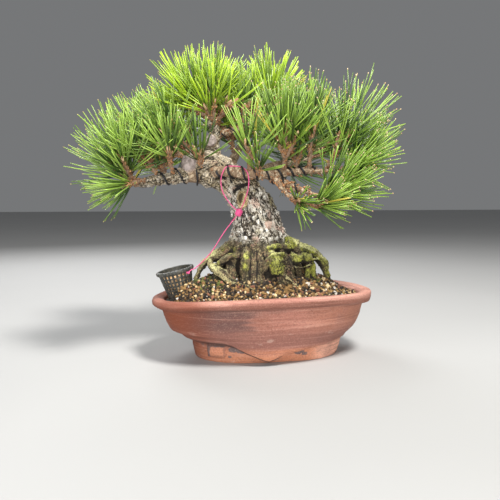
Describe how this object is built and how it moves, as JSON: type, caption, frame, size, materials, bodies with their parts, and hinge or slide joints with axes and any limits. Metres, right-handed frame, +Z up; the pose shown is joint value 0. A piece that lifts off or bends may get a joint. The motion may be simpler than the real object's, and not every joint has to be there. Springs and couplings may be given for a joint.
{
  "type": "potted pine bonsai",
  "caption": "Small pine bonsai with a thick leaning trunk, exposed surface roots and tufts of long needles, standing in an oval unglazed clay pot.",
  "frame": {"origin": "centre of the pot's flat underside", "axes": "+Z up, X along the pot's long side, -Y towards the front that the picture shows"},
  "size_m": [0.3149, 0.2209, 0.2967],
  "materials": {
    "clay": "matte unglazed",
    "soil": "loose mixed grit",
    "bark": "rough flaky bark",
    "needles": "satin needles",
    "basket_plastic": "matte",
    "feed": "crumbly pellets",
    "elastic": "smooth"
  },
  "bodies": {
    "root": {"pot": "clay", "soil": "soil", "feed_basket": "basket_plastic", "feed_pellets": "feed", "bead_tie": "elastic", "trunk": "bark", "right_arch_root": "bark", "right_strand_root": "bark", "right_back_root": "bark", "left_root": "bark", "left_loop_root": "bark", "front_root": "bark", "front_left_root": "bark", "back_root": "bark", "left_bough": "bark", "apex_stem": "bark", "right_bough": "bark", "right_low_bough": "bark", "thin_low_bough": "bark", "crown_twig": "bark", "left_upper_twig": "bark", "back_right_bough": "bark", "back_bough": "bark", "back_left_bough": "bark", "crown_top": "needles", "crown_left": "needles", "crown_right_side": "needles", "crown_front": "needles", "crown_back": "needles", "crown_right": "needles", "crown_right_middle": "needles", "crown_right_back": "needles", "left_upper": "needles", "left_shoulder": "needles", "left_upper_back": "needles", "left_tip_upper": "needles", "left_tip": "needles", "left_low": "needles", "left_front": "needles", "left_back": "needles", "right_inner": "needles", "right_upper": "needles", "right_far_upper": "needles", "right_outer": "needles", "right_outer_low": "needles", "right_behind": "needles", "right_low_outer": "needles", "right_low_front": "needles", "right_low_inner": "needles", "front_low": "needles", "front_middle": "needles", "front_left": "needles", "back_middle": "needles", "back_upper": "needles", "back_right": "needles", "back_low_right": "needles", "back_left": "needles", "back_low_left": "needles"}
  },
  "joints": []
}
